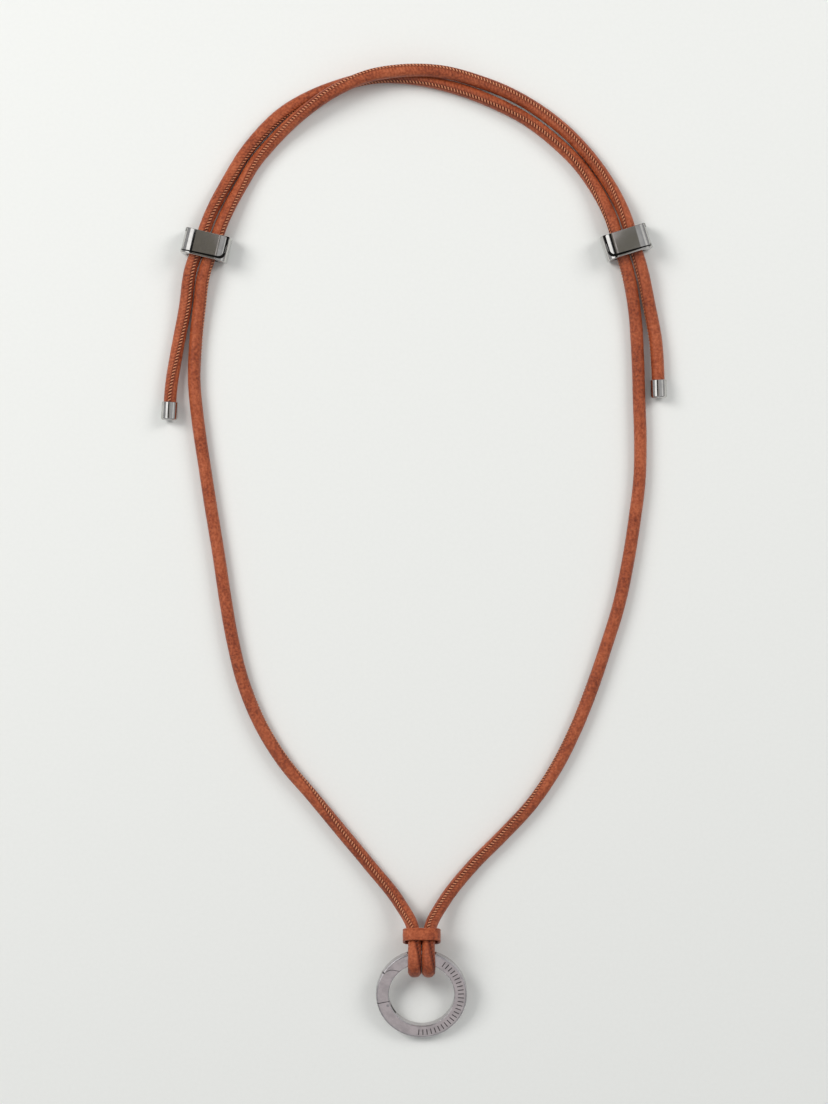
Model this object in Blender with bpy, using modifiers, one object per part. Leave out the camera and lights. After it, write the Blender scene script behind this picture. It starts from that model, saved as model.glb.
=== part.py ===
"""Leather neck cord with two locking sliders, end caps, a keeper band and a spring-gate ring.

Everything lies on a table at z = 0. X runs across the wearer's chest, Y runs from the ring
up to the top of the loop, and Z points up from the table.
"""

import math

import bmesh
import bpy
import numpy as np
from mathutils import Vector

MM = 0.001

# Cord: a round stitched leather cord, in two lengths that both end inside the keeper.
CORD_RADIUS = 2.0
CORD_SIDES = 2  # bevel resolution, 8 sides
LONGEST_STEP = 13.0
LARGEST_TURN_DEG = 24.0
CAP_CORD_HEIGHT = 2.5

# Sliders: local X points along the body, local Y along the cords, Z up.
SLIDER_CHANNEL_X = 2.15  # from the channel's middle to each cord's axis
SLIDER_CHANNEL_Z = 3.5
SLIDER_HALF_LENGTH = 7.2
SLIDER_HALF_WIDTH = 3.9
SLIDER_HEIGHT = 8.3
SLIDER_SHOULDER = (3.8, 2.6)  # half widths of the elliptical top corners, along X and along Z
SLIDER_FOOT = 1.6
CHANNEL_STRAIGHT = 2.3  # from the channel's middle to the centre of either round end
CHANNEL_RADIUS = 2.7
GRIP_RADIUS = 2.6
GRIP_BORE_RADIUS = 2.2
GRIP_HALF_WIDTH = 3.3
LEFT_SLIDER_AT = (-63.6, 93.9)
LEFT_SLIDER_TURN_DEG = -13.5
LEFT_CORDS_TURN_DEG = -19.7  # the cords run through the left slider slightly askew
RIGHT_SLIDER_AT = (65.0, 94.8)
RIGHT_SLIDER_TURN_DEG = 17.5
RIGHT_CORDS_TURN_DEG = 17.5

# Each slider's cover, its recess, and the pin it turns on.
RECESS_FLOOR = 6.8
COVER_UNDERSIDE = 7.0
PIN_X = 6.3
PIN_Z = 5.3
PIN_RADIUS = 0.45
KNUCKLE_RADIUS = 0.85
KNUCKLE_HALF_WIDTH = 2.6
RUNNING_GAP = 0.05
PRESS_GAP = 0.02
FLOOR_GAP = 0.05

# Ring: local Z is its axis. It leans on the cord that passes behind its upper bar.
RING_CENTRE_X = 2.3
BAR_Y = -123.5
BAR_Z = 7.4
RING_OUTER = 13.95
RING_INNER = 10.05
RING_HALF_THICKNESS = 1.45
RING_EDGE = 0.6
RING_STEPS = 72

# Gate of the ring: places on it are polar angles in degrees, 90 at the cord.
GATE_PIN_AT = (10.85, 198.0)
GATE_PIN_RADIUS = 0.4
GATE_REACH = 11.55
GATE_SHOULDER = 2.5
GATE_HEEL_ANGLE = 191.0
GATE_GAP = 0.15
TONGUE_RADIUS = 0.95
TONGUE_HALF_THICKNESS = 0.6

# Keeper: a flat leather band round the strands, leaning with them.
KEEPER_CENTRE = (2.35, -117.4, 6.35)
KEEPER_LEAN_DEG = -14.0
KEEPER_HALF_WIDTH = 5.8
KEEPER_HALF_HEIGHT = 6.05
KEEPER_WALL = 0.95
KEEPER_LENGTH = 3.8
KEEPER_CORNER = 3.2

# End caps: turned cups glued on the two free ends.
CAP_RADIUS = 2.5
CAP_BORE = 2.12
CAP_LENGTH = 5.6
CAP_DEPTH = 4.4
CAP_ROUND = 0.7
LEFT_CAP_END = (-75.13, 40.4)
LEFT_CAP_MOUTH = (-74.88, 46.0)
RIGHT_CAP_END = (75.12, 47.2)
RIGHT_CAP_MOUTH = (74.97, 52.8)

# Routes of the two cords in millimetres, from the cut end inside the keeper round the ring,
# up the leg, through both sliders and down to the end cap.
LEFT_CORD_ROUTE = [
    (4.4, -118.2, 4.15), (4.4, -120.1, 3.95), (4.4, -123.5, 2.8), (4.4, -126.75, 4.15),
    (4.4, -128.1, 7.4), (4.4, -126.75, 10.65), (4.4, -123.5, 12.0), (4.4, -121.2, 11.38),
    (4.5, -118.55, 9.57), (4.9, -115.0, 7.25), (9.2, -107.2, 3.4), (18.0, -96.3, 2.05),
    (27.0, -87.2, 2.0),
    (36.0, -77.5, 2.0), (43.5, -66.5, 2.0), (49.6, -54.5, 2.0), (54.6, -42.0, 2.0),
    (58.8, -29.5, 2.0), (62.7, -17.0, 2.0), (65.6, -3.5, 2.0), (67.7, 9.7, 2.0),
    (69.2, 22.0, 2.0), (69.5, 34.0, 2.0), (69.1, 47.0, 2.0), (68.7, 60.0, 2.0),
    (67.5, 75.5, 2.3), (65.48, 86.14, 3.5), (62.95, 94.15, 3.5), (60.42, 102.16, 3.5),
    (54.9, 113.0, 2.0), (50.4, 119.1, 2.0), (44.5, 125.0, 2.0), (33.4, 133.5, 2.0),
    (25.4, 137.6, 2.0), (13.5, 142.2, 2.0), (1.6, 145.1, 2.0), (-13.7, 145.5, 2.0),
    (-23.2, 143.1, 2.0), (-29.7, 140.7, 2.0), (-40.9, 134.3, 2.0), (-47.3, 128.1, 2.0),
    (-52.5, 121.6, 2.0), (-56.3, 115.3, 2.1), (-62.86, 102.34, 3.5), (-65.62, 94.62, 3.5),
    (-68.38, 86.9, 3.5), (-70.3, 74.7, 2.3), (-72.8, 61.5, 2.0), (-74.6, 49.8, 2.4),
    (-75.07, 41.8, 2.5),
]
RIGHT_CORD_ROUTE = [
    (0.2, -118.2, 4.15), (0.2, -120.1, 3.95), (0.2, -123.5, 2.8), (0.2, -126.75, 4.15),
    (0.2, -128.1, 7.4), (0.2, -126.75, 10.65), (0.2, -123.5, 12.0), (0.2, -121.2, 11.38),
    (0.1, -118.55, 9.57), (-0.3, -115.0, 7.25), (-4.7, -107.2, 3.4), (-13.6, -96.2, 2.05),
    (-22.4, -85.6, 2.0),
    (-31.0, -75.2, 2.0), (-40.0, -64.6, 2.0), (-47.2, -53.0, 2.0), (-52.4, -40.3, 2.0),
    (-55.6, -27.5, 2.0), (-58.0, -14.0, 2.0), (-60.1, 0.0, 2.0), (-62.4, 14.0, 2.0),
    (-64.4, 27.0, 2.0), (-66.3, 40.0, 2.0), (-67.5, 53.0, 2.0), (-67.1, 64.0, 2.0),
    (-66.0, 74.5, 2.4), (-64.34, 85.46, 3.5), (-61.58, 93.18, 3.5), (-58.82, 100.9, 3.5),
    (-52.6, 113.3, 2.0), (-49.0, 119.3, 2.0), (-44.1, 125.1, 2.3), (-34.2, 134.4, 4.3),
    (-22.6, 141.9, 6.1), (-13.7, 145.5, 6.35), (-4.5, 147.05, 6.1), (8.0, 147.05, 5.0),
    (20.9, 144.0, 2.7), (27.2, 141.7, 2.0), (36.2, 136.9, 2.0), (47.5, 128.2, 2.0),
    (53.5, 121.8, 2.0), (58.4, 115.2, 2.0), (64.52, 103.46, 3.5), (67.05, 95.45, 3.5),
    (69.58, 87.44, 3.5), (72.1, 76.2, 2.3), (74.3, 64.5, 2.0), (74.87, 55.5, 2.4),
    (75.09, 48.6, 2.5),
]

LEATHER = ("leather", (0.40, 0.135, 0.058), 0.5, 0.0)
METAL = ("polished_metal", (0.36, 0.36, 0.37), 0.12, 1.0)
PIN_STEEL = ("pin_steel", (0.30, 0.30, 0.31), 0.25, 1.0)
SPRING_STEEL = ("spring_steel", (0.42, 0.42, 0.42), 0.3, 1.0)
SILICONE = ("grip_silicone", (0.03, 0.03, 0.03), 0.7, 0.0)


def clear_scene():
    """Remove what the file holds, so the script can be run again and again."""
    for item in list(bpy.data.objects):
        bpy.data.objects.remove(item, do_unlink=True)
    for old in list(bpy.data.collections):
        bpy.data.collections.remove(old)


def new_collection(name):
    group = bpy.data.collections.new(name)
    bpy.context.scene.collection.children.link(group)
    return group


def material(kind):
    """Make a Principled material with the finish that a kind of part has."""
    name, colour, roughness, metallic = kind
    made = bpy.data.materials.get(name)
    if made is None:
        made = bpy.data.materials.new(name)
        made.use_nodes = True
        shader = made.node_tree.nodes["Principled BSDF"]
        shader.inputs["Base Color"].default_value = (*colour, 1.0)
        shader.inputs["Roughness"].default_value = roughness
        shader.inputs["Metallic"].default_value = metallic
    return made


def place(item, kind, parent=None):
    """Put an object in the parts' collection with its material, or with the cutters."""
    if kind is None:
        cutters.objects.link(item)
        item.hide_render = True
        item.display_type = "WIRE"
    else:
        parts.objects.link(item)
        item.data.materials.clear()
        item.data.materials.append(material(kind))
    item.parent = parent
    return item


def frame_empty(name, location_mm, rotation_deg):
    """Add an empty that carries the parts of one assembly."""
    empty = bpy.data.objects.new(name, None)
    parts.objects.link(empty)
    empty.location = [value * MM for value in location_mm]
    empty.rotation_euler = [math.radians(angle) for angle in rotation_deg]
    return empty


def polar(radius, angle_deg, centre=(0.0, 0.0)):
    angle = math.radians(angle_deg)
    return (centre[0] + radius * math.cos(angle), centre[1] + radius * math.sin(angle))


def arc(radius, start_deg, end_deg, steps, centre=(0.0, 0.0)):
    """Points on a circle from one angle to another, both ends counted."""
    return [polar(radius, angle, centre) for angle in np.linspace(start_deg, end_deg, steps + 1)]


def rounded(corners, steps=4):
    """Turn corners given as (x, y, radius) into an outline with round corners."""
    outline = []
    for index, (x, y, radius) in enumerate(corners):
        here = Vector((x, y))
        if radius == 0.0:
            outline.append((x, y))
            continue
        before = (Vector(corners[index - 1][:2]) - here).normalized()
        after = (Vector(corners[(index + 1) % len(corners)][:2]) - here).normalized()
        half = before.angle(after) / 2.0
        centre = here + (before + after).normalized() * (radius / math.sin(half))
        start = here + before * (radius / math.tan(half)) - centre
        end = here + after * (radius / math.tan(half)) - centre
        for step in range(steps + 1):
            spoke = start.lerp(end, step / steps).normalized() * radius
            outline.append(tuple(centre + spoke))
    return outline


def outline_mesh(name, outline, half_thickness):
    """Extrude a closed flat outline both ways and weld it into one closed mesh."""
    curve = bpy.data.curves.new(name, "CURVE")
    curve.dimensions = "2D"
    curve.fill_mode = "BOTH"
    curve.extrude = half_thickness * MM
    curve.resolution_u = 1
    curve.render_resolution_u = 0
    spline = curve.splines.new("POLY")
    spline.points.add(len(outline) - 1)
    spline.use_cyclic_u = True
    for point, (x, y) in zip(spline.points, outline):
        point.co = (x * MM, y * MM, 0.0, 1.0)
    source = bpy.data.objects.new(name + "_outline", curve)
    bpy.context.scene.collection.objects.link(source)
    bpy.context.view_layer.update()
    evaluated = source.evaluated_get(bpy.context.evaluated_depsgraph_get())
    mesh = bpy.data.meshes.new_from_object(evaluated)
    mesh.name = name
    bpy.data.objects.remove(source, do_unlink=True)
    bpy.data.curves.remove(curve)
    shape = bmesh.new()
    shape.from_mesh(mesh)
    bmesh.ops.remove_doubles(shape, verts=shape.verts, dist=0.001 * MM)
    bmesh.ops.recalc_face_normals(shape, faces=shape.faces)
    shape.to_mesh(mesh)
    shape.free()
    return mesh


def slab(name, outline, low, high, kind=None, parent=None, upright=False):
    """A flat plate between two levels, lying in XY, or standing in XZ when upright."""
    item = bpy.data.objects.new(name, outline_mesh(name, outline, (high - low) / 2.0))
    middle = (low + high) / 2.0 * MM
    if upright:
        item.rotation_euler = (math.pi / 2.0, 0.0, 0.0)
        item.location = (0.0, middle, 0.0)
    else:
        item.location = (0.0, 0.0, middle)
    return place(item, kind, parent)


def rod(name, radius, low, high, at, kind=None, parent=None, upright=False, segments=16):
    """A straight round rod along Z, or along Y when upright, with its middle on its axis."""
    shape = bmesh.new()
    bmesh.ops.create_cone(shape, cap_ends=True, segments=segments, radius1=radius * MM,
                          radius2=radius * MM, depth=(high - low) * MM)
    mesh = bpy.data.meshes.new(name)
    shape.to_mesh(mesh)
    shape.free()
    item = bpy.data.objects.new(name, mesh)
    middle = (low + high) / 2.0
    if upright:
        item.rotation_euler = (math.pi / 2.0, 0.0, 0.0)
        item.location = (at[0] * MM, middle * MM, at[1] * MM)
    else:
        item.location = (at[0] * MM, at[1] * MM, middle * MM)
    mesh.shade_smooth()
    mesh.set_sharp_from_angle(angle=math.radians(35.0))
    return place(item, kind, parent)


def turned(name, profile, steps, kind=None, parent=None, closed=True):
    """Spin a profile given as (radius, height) points about local Z."""
    shape = bmesh.new()
    corners = [shape.verts.new((radius * MM, 0.0, height * MM)) for radius, height in profile]
    pairs = zip(corners, corners[1:] + corners[:1]) if closed else zip(corners, corners[1:])
    for first, second in pairs:
        shape.edges.new((first, second))
    mesh = bpy.data.meshes.new(name)
    shape.to_mesh(mesh)
    shape.free()
    item = bpy.data.objects.new(name, mesh)
    screw = item.modifiers.new("turn", "SCREW")
    screw.steps = steps
    screw.render_steps = steps
    screw.use_merge_vertices = True
    screw.merge_threshold = 0.001 * MM
    screw.use_smooth_shade = True
    return place(item, kind, parent)


def boolean(item, cutter, operation="DIFFERENCE"):
    modifier = item.modifiers.new(cutter.name, "BOOLEAN")
    modifier.operation = operation
    modifier.solver = "EXACT"
    modifier.object = cutter


def soften(item, width):
    """Break the sharp edges of a machined part."""
    bevel = item.modifiers.new("broken_edges", "BEVEL")
    bevel.width = width * MM
    bevel.segments = 1
    bevel.limit_method = "ANGLE"
    bevel.angle_limit = math.radians(50.0)


def sided(outline, side):
    """Mirror an outline's points or corners in X when side is -1."""
    return [(side * x, *rest) for x, *rest in outline]


def smooth_route(route):
    """Read points from a smooth curve through the route, closer together where it turns."""
    knots = np.array(route)
    chord = np.linalg.norm(np.diff(knots, axis=0), axis=1)
    along = np.concatenate([[0.0], np.cumsum(chord)])
    slope = np.gradient(knots, along, axis=0)
    points = [knots[0]]
    for index, length in enumerate(chord):
        cosine = np.dot(slope[index], slope[index + 1])
        cosine /= np.linalg.norm(slope[index]) * np.linalg.norm(slope[index + 1])
        turn = math.degrees(math.acos(min(1.0, cosine)))
        count = max(1, round(length / LONGEST_STEP), math.ceil(turn / LARGEST_TURN_DEG))
        for t in np.linspace(0.0, 1.0, count + 1)[1:]:
            weights = (2 * t**3 - 3 * t**2 + 1, 3 * t**2 - 2 * t**3)
            leans = (t**3 - 2 * t**2 + t, t**3 - t**2)
            points.append(weights[0] * knots[index] + weights[1] * knots[index + 1]
                          + length * (leans[0] * slope[index] + leans[1] * slope[index + 1]))
    return np.array(points)


def build_cord(name, route):
    points = smooth_route(route)
    curve = bpy.data.curves.new(name, "CURVE")
    curve.dimensions = "3D"
    curve.bevel_depth = CORD_RADIUS * MM
    curve.bevel_resolution = CORD_SIDES
    curve.use_fill_caps = True
    curve.render_resolution_u = 0
    spline = curve.splines.new("POLY")
    spline.points.add(len(points) - 1)
    for point, place_mm in zip(spline.points, points):
        point.co = (*(place_mm * MM), 1.0)
    place(bpy.data.objects.new(name, curve), LEATHER)
    length = np.linalg.norm(np.diff(points, axis=0), axis=1).sum()
    print(f"{name}: {len(points)} points, {length:.1f} mm")


def slider_section():
    """The slider's outer section, seen along the cords: round feet and elliptical shoulders."""
    foot_x, foot_z = SLIDER_HALF_LENGTH - SLIDER_FOOT, SLIDER_FOOT
    wide, tall = SLIDER_SHOULDER
    shoulder_x, shoulder_z = SLIDER_HALF_LENGTH - wide, SLIDER_HEIGHT - tall
    section = arc(SLIDER_FOOT, 180.0, 270.0, 4, (-foot_x, foot_z))
    section += arc(SLIDER_FOOT, 270.0, 360.0, 4, (foot_x, foot_z))
    section += [(shoulder_x + x * wide, shoulder_z + z * tall) for x, z in arc(1.0, 0.0, 90.0, 9)]
    section += [(x * wide - shoulder_x, shoulder_z + z * tall) for x, z in arc(1.0, 90.0, 180.0, 9)]
    return section


def oblong(straight, radius, steps=10):
    """A slot outline with round ends, centred on the cords' channels."""
    middle = SLIDER_CHANNEL_Z
    right = arc(radius, -90.0, 90.0, steps, (straight, middle))
    left = arc(radius, 90.0, 270.0, steps, (-straight, middle))
    return right + left


def build_slider(side, at, turn_deg, cords_turn_deg):
    """One slider. side is -1 for the left one, hinged at its -X end, and 1 for the right one."""
    name = "left_slider" if side < 0 else "right_slider"
    frame = frame_empty(name + "_frame", (*at, 0.0), (0.0, 0.0, turn_deg))
    cords_frame = frame_empty(name + "_cords_frame", (*at, 0.0), (0.0, 0.0, cords_turn_deg))
    width = SLIDER_HALF_WIDTH
    pin_at = (side * PIN_X, PIN_Z)

    # Body: a solid bar with a cord channel, a recess for the cover and a slot for its knuckle.
    body = slab(name + "_body", slider_section(), -width, width, METAL, frame, upright=True)
    channel = slab(name + "_channel", oblong(CHANNEL_STRAIGHT, CHANNEL_RADIUS), -width - 1.0, width + 1.0,
                   parent=cords_frame, upright=True)
    recess_corners = [(9.0, -3.35, 0.0), (-6.5, -3.35, 1.8), (-6.5, 5.0, 0.0), (9.0, 5.0, 0.0)]
    recess = slab(name + "_recess", rounded(sided(recess_corners, side)), RECESS_FLOOR, 10.0,
                  parent=frame)
    slot = slab(name + "_slot", sided([(5.3, 3.9), (9.0, 3.9), (9.0, 9.0), (5.3, 9.0)], side),
                -KNUCKLE_HALF_WIDTH - 0.2, KNUCKLE_HALF_WIDTH + 0.2, parent=frame, upright=True)
    pin_hole = rod(name + "_pin_hole", PIN_RADIUS + PRESS_GAP, -width + 0.4, width - 0.4, pin_at,
                   parent=frame, upright=True)
    catch_slot = slab(name + "_catch_slot",
                      sided([(-6.55, 4.1), (-6.05, 4.1), (-6.05, 8.0), (-6.55, 8.0)], side),
                      -1.35, 1.35, parent=frame, upright=True)
    for cutter in (channel, recess, slot, pin_hole, catch_slot):
        boolean(body, cutter)
    soften(body, 0.15)

    # Cover: the lid of the same section, cut to its plan outline, with a knuckle on the pin.
    cover = slab(name + "_cover", slider_section(), -width, width, METAL, frame, upright=True)
    cover_corners = [(9.0, -3.1, 0.0), (-5.8, -2.6, 1.5), (-5.8, 3.75, 0.5), (9.0, 3.75, 0.0)]
    plan = slab(name + "_cover_plan", rounded(sided(cover_corners, side)), COVER_UNDERSIDE, 10.0,
                parent=frame)
    web = [(5.75, 7.4), (PIN_X - KNUCKLE_RADIUS, PIN_Z)]
    web += arc(KNUCKLE_RADIUS, 180.0, 360.0, 10, (PIN_X, PIN_Z))[1:]
    web += [(7.05, 6.0), (6.8, 6.7), (6.1, 7.4)]
    knuckle = slab(name + "_knuckle", sided(web, side), -KNUCKLE_HALF_WIDTH, KNUCKLE_HALF_WIDTH,
                   parent=frame, upright=True)
    knuckle_hole = rod(name + "_knuckle_hole", PIN_RADIUS + RUNNING_GAP, -width, width, pin_at,
                       parent=frame, upright=True)
    boolean(cover, plan, "INTERSECT")
    boolean(cover, knuckle, "UNION")
    boolean(cover, knuckle_hole)
    soften(cover, 0.15)

    rod(name + "_hinge_pin", PIN_RADIUS, -width + 0.5, width - 0.5, pin_at, PIN_STEEL, frame,
        upright=True)

    # Grip insert: a silicone block with one bore for both cords, pushed into the channel.
    grip = slab(name + "_grip_insert", oblong(CHANNEL_STRAIGHT, GRIP_RADIUS), -GRIP_HALF_WIDTH,
                GRIP_HALF_WIDTH, SILICONE, cords_frame, upright=True)
    bore = slab(name + "_grip_bore", oblong(SLIDER_CHANNEL_X, GRIP_BORE_RADIUS), -width, width,
                parent=cords_frame, upright=True)
    boolean(grip, bore)

    slab(name + "_catch_spring",
         sided([(-6.4, 4.2), (-6.15, 4.2), (-6.15, 7.05), (-6.4, 7.05)], side),
         -1.2, 1.2, SPRING_STEEL, frame, upright=True)


def ring_lean():
    """Angle that the ring leans at, from its bar on the loop down to its far edge on the table."""
    middle = (RING_OUTER + RING_INNER) / 2.0
    rise = BAR_Z - RING_HALF_THICKNESS - FLOOR_GAP
    return math.asin(rise / (middle + RING_OUTER - RING_EDGE))


def ring_frame():
    lean = ring_lean()
    middle = (RING_OUTER + RING_INNER) / 2.0
    centre = (RING_CENTRE_X, BAR_Y - middle * math.cos(lean), BAR_Z - middle * math.sin(lean))
    print("ring lean", round(math.degrees(lean), 3), "deg, centre", [round(v, 4) for v in centre])
    return frame_empty("ring_frame", centre, (math.degrees(lean), 0.0, 0.0))


def ring_profile():
    """Section of the ring from the inner top corner round the outer side, top to bottom."""
    thick = RING_HALF_THICKNESS
    corners = [(RING_INNER, thick, 0.3), (RING_OUTER, thick, RING_EDGE),
               (RING_OUTER, -thick, RING_EDGE), (RING_INNER, -thick, 0.3)]
    return rounded(corners, steps=2)


def gate_outline(gap):
    """Plan of the gate from heel to tip, grown by a gap when it cuts the body."""
    pin = polar(*GATE_PIN_AT)
    shoulder_radius = GATE_SHOULDER + gap
    shoulder = polar(GATE_REACH - GATE_SHOULDER, 82.0, pin)
    tip = arc(GATE_REACH + gap, 58.0, 82.0, 6, pin)
    tip += arc(shoulder_radius, 82.0, 150.0 - 60.0 * gap, 7, shoulder)[1:]
    notch = GATE_HEEL_ANGLE - 40.5 - 14.0 * gap
    heel = GATE_HEEL_ANGLE + gap / RING_OUTER * math.degrees(1.0) * 1.6
    return tip + [polar(15.5, notch)] + arc(15.5, notch + 10.0, heel, 3) + [polar(8.6, heel)]


def tongue_outline(radius, root_angle):
    """Plan of the gate's tongue: a round end on the pin and a web up to the gate."""
    pin = polar(*GATE_PIN_AT)
    return arc(radius, 140.0, 395.0, 14, pin) + [polar(10.2, root_angle), polar(11.9, root_angle)]


def build_ring():
    frame = ring_frame()
    thick = RING_HALF_THICKNESS
    pin = polar(*GATE_PIN_AT)

    # Body: the turned ring with the gate's place, the hinge slot and the spring's groove cut out.
    body = turned("ring_body", ring_profile(), RING_STEPS, METAL, frame)
    gate_cut = slab("ring_gate_cut", gate_outline(GATE_GAP), -thick - 1.0, thick + 1.0, parent=frame)
    tongue_cut = slab("ring_tongue_cut",
                      tongue_outline(TONGUE_RADIUS + 0.2, 188.0), -TONGUE_HALF_THICKNESS - 0.15,
                      TONGUE_HALF_THICKNESS + 0.15, parent=frame)
    groove = slab("ring_spring_groove", arc(10.8, 196.0, 219.0, 8) + arc(9.0, 219.0, 196.0, 8),
                  -0.65, 0.65, parent=frame)
    pin_hole = rod("ring_pin_hole", GATE_PIN_RADIUS + PRESS_GAP, -thick - 1.0, thick + 1.0, pin,
                   parent=frame)
    for cutter in (gate_cut, tongue_cut, groove, pin_hole):
        boolean(body, cutter)

    # Gate: the same ring cut to the gate's plan, with a tongue on the pin.
    gate = turned("ring_gate", ring_profile(), RING_STEPS, METAL, frame)
    gate_plan = slab("ring_gate_plan", gate_outline(0.0), -thick - 1.0, thick + 1.0, parent=frame)
    tongue = slab("ring_tongue", tongue_outline(TONGUE_RADIUS, 186.0), -TONGUE_HALF_THICKNESS,
                  TONGUE_HALF_THICKNESS, parent=frame)
    tongue_hole = rod("ring_tongue_hole", GATE_PIN_RADIUS + RUNNING_GAP, -thick, thick, pin,
                      parent=frame)
    boolean(gate, gate_plan, "INTERSECT")
    boolean(gate, tongue, "UNION")
    boolean(gate, tongue_hole)

    rod("ring_gate_pin", GATE_PIN_RADIUS, -thick + 0.05, thick - 0.05, pin, PIN_STEEL, frame)
    slab("ring_gate_spring", arc(10.6, 204.6, 218.0, 6) + arc(10.3, 218.0, 204.6, 6), -0.5, 0.5,
         SPRING_STEEL, frame)


def build_keeper():
    frame = frame_empty("keeper_frame", KEEPER_CENTRE, (KEEPER_LEAN_DEG, 0.0, 0.0))
    wide, tall = KEEPER_HALF_WIDTH, KEEPER_HALF_HEIGHT

    def band(shrink):
        across, up, corner = wide - shrink, tall - shrink, KEEPER_CORNER - shrink * 0.6
        return rounded([(-across, -up, corner), (across, -up, corner), (across, up, corner),
                        (-across, up, corner)], steps=5)

    half = KEEPER_LENGTH / 2.0
    keeper = slab("keeper_band", band(0.0), -half, half, LEATHER, frame, upright=True)
    hole = slab("keeper_hole", band(KEEPER_WALL), -half - 1.0, half + 1.0, parent=frame, upright=True)
    boolean(keeper, hole)
    soften(keeper, 0.3)


def build_cap(name, end, mouth):
    """A cup with its closed end away from the cord, lying on the table."""
    steps = 4
    profile = [(0.0, CAP_LENGTH - CAP_DEPTH), (CAP_BORE, CAP_LENGTH - CAP_DEPTH), (CAP_BORE, CAP_LENGTH)]
    profile += [(CAP_RADIUS - 0.1, CAP_LENGTH), (CAP_RADIUS, CAP_LENGTH - 0.1)]
    profile += arc(CAP_ROUND, 0.0, -90.0, steps, (CAP_RADIUS - CAP_ROUND, CAP_ROUND)) + [(0.0, 0.0)]
    cap = turned(name, profile, 24, METAL, closed=False)
    cap.location = (end[0] * MM, end[1] * MM, CAP_CORD_HEIGHT * MM)
    towards_cord = Vector((mouth[0] - end[0], mouth[1] - end[1], 0.0))
    cap.rotation_mode = "QUATERNION"
    cap.rotation_quaternion = towards_cord.to_track_quat("Z", "Y")


clear_scene()
parts = new_collection("neck_cord")
cutters = new_collection("cutters")
build_cord("left_cord", LEFT_CORD_ROUTE)
build_cord("right_cord", RIGHT_CORD_ROUTE)
build_slider(-1, LEFT_SLIDER_AT, LEFT_SLIDER_TURN_DEG, LEFT_CORDS_TURN_DEG)
build_slider(1, RIGHT_SLIDER_AT, RIGHT_SLIDER_TURN_DEG, RIGHT_CORDS_TURN_DEG)
build_ring()
build_keeper()
build_cap("left_end_cap", LEFT_CAP_END, LEFT_CAP_MOUTH)
build_cap("right_end_cap", RIGHT_CAP_END, RIGHT_CAP_MOUTH)
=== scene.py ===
# %% [markdown]
# # A leather neck cord with sliders and a spring-gate ring
# The model that was designed first is loaded as a fixed frame: it holds every joint and size.
# This file adds what the eye looks for: stitched leather, polished metal, a table and light.

import math

import bpy
import mathutils
import numpy as np
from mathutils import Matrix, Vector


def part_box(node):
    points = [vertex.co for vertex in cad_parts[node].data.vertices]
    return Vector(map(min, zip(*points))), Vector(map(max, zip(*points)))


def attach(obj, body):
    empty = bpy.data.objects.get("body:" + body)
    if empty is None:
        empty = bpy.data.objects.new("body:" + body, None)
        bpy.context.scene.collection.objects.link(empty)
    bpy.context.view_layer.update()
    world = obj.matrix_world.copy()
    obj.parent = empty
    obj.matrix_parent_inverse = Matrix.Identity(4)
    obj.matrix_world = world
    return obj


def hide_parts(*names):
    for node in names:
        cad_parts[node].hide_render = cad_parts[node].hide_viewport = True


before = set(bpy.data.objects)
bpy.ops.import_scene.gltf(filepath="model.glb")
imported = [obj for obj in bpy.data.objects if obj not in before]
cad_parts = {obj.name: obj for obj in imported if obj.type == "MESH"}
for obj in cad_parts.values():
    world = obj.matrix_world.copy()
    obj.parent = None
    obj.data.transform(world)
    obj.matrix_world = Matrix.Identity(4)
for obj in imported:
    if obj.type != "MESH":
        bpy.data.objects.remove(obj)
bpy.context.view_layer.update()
MM = 0.001

# %% [markdown]
# ## The camera
# The cord lies flat on a table and is seen from straight above, with the ring at the bottom. A
# long lens from almost a metre keeps the outline true and still shows a little of the sides of
# whatever stands away from the middle.

# %% Camera
CAMERA_HEIGHT = 0.92
VIEW_HEIGHT = 0.3397
SENSOR = 36.0


def add_object(name, data):
    """A new object at the origin of the scene."""
    made = bpy.data.objects.new(name, data)
    bpy.context.scene.collection.objects.link(made)
    return made


camera_data = bpy.data.cameras.new("camera")
camera_data.sensor_fit = "VERTICAL"
camera_data.sensor_height = SENSOR
camera_data.lens = SENSOR * CAMERA_HEIGHT / VIEW_HEIGHT
camera = add_object("camera", camera_data)
camera.location = (0.0, 0.0, CAMERA_HEIGHT)
bpy.context.scene.camera = camera
print("lens", round(camera_data.lens, 1), "mm")

# %% [markdown]
# ## Surfaces from arrays
# Nearly every piece here is a grid of points: rows along it, columns round it. One helper joins
# such a grid into quads, closes its ends and stores a UV map, so each piece only has to say where
# its points are.

# %% A grid of points becomes a mesh
def grid_faces(rows, columns, first=0, closed_rows=False):
    """Quads of a grid that wraps round its columns, and round its rows too when closed_rows."""
    row = np.arange(rows if closed_rows else rows - 1)[:, None]
    column = np.arange(columns)[None, :]
    after_row = (row + 1) % rows
    after_column = (column + 1) % columns
    corners = np.broadcast_arrays(row * columns + column, row * columns + after_column,
                                  after_row * columns + after_column, after_row * columns + column)
    return first + np.stack(corners, axis=-1).reshape(-1, 4)


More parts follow.
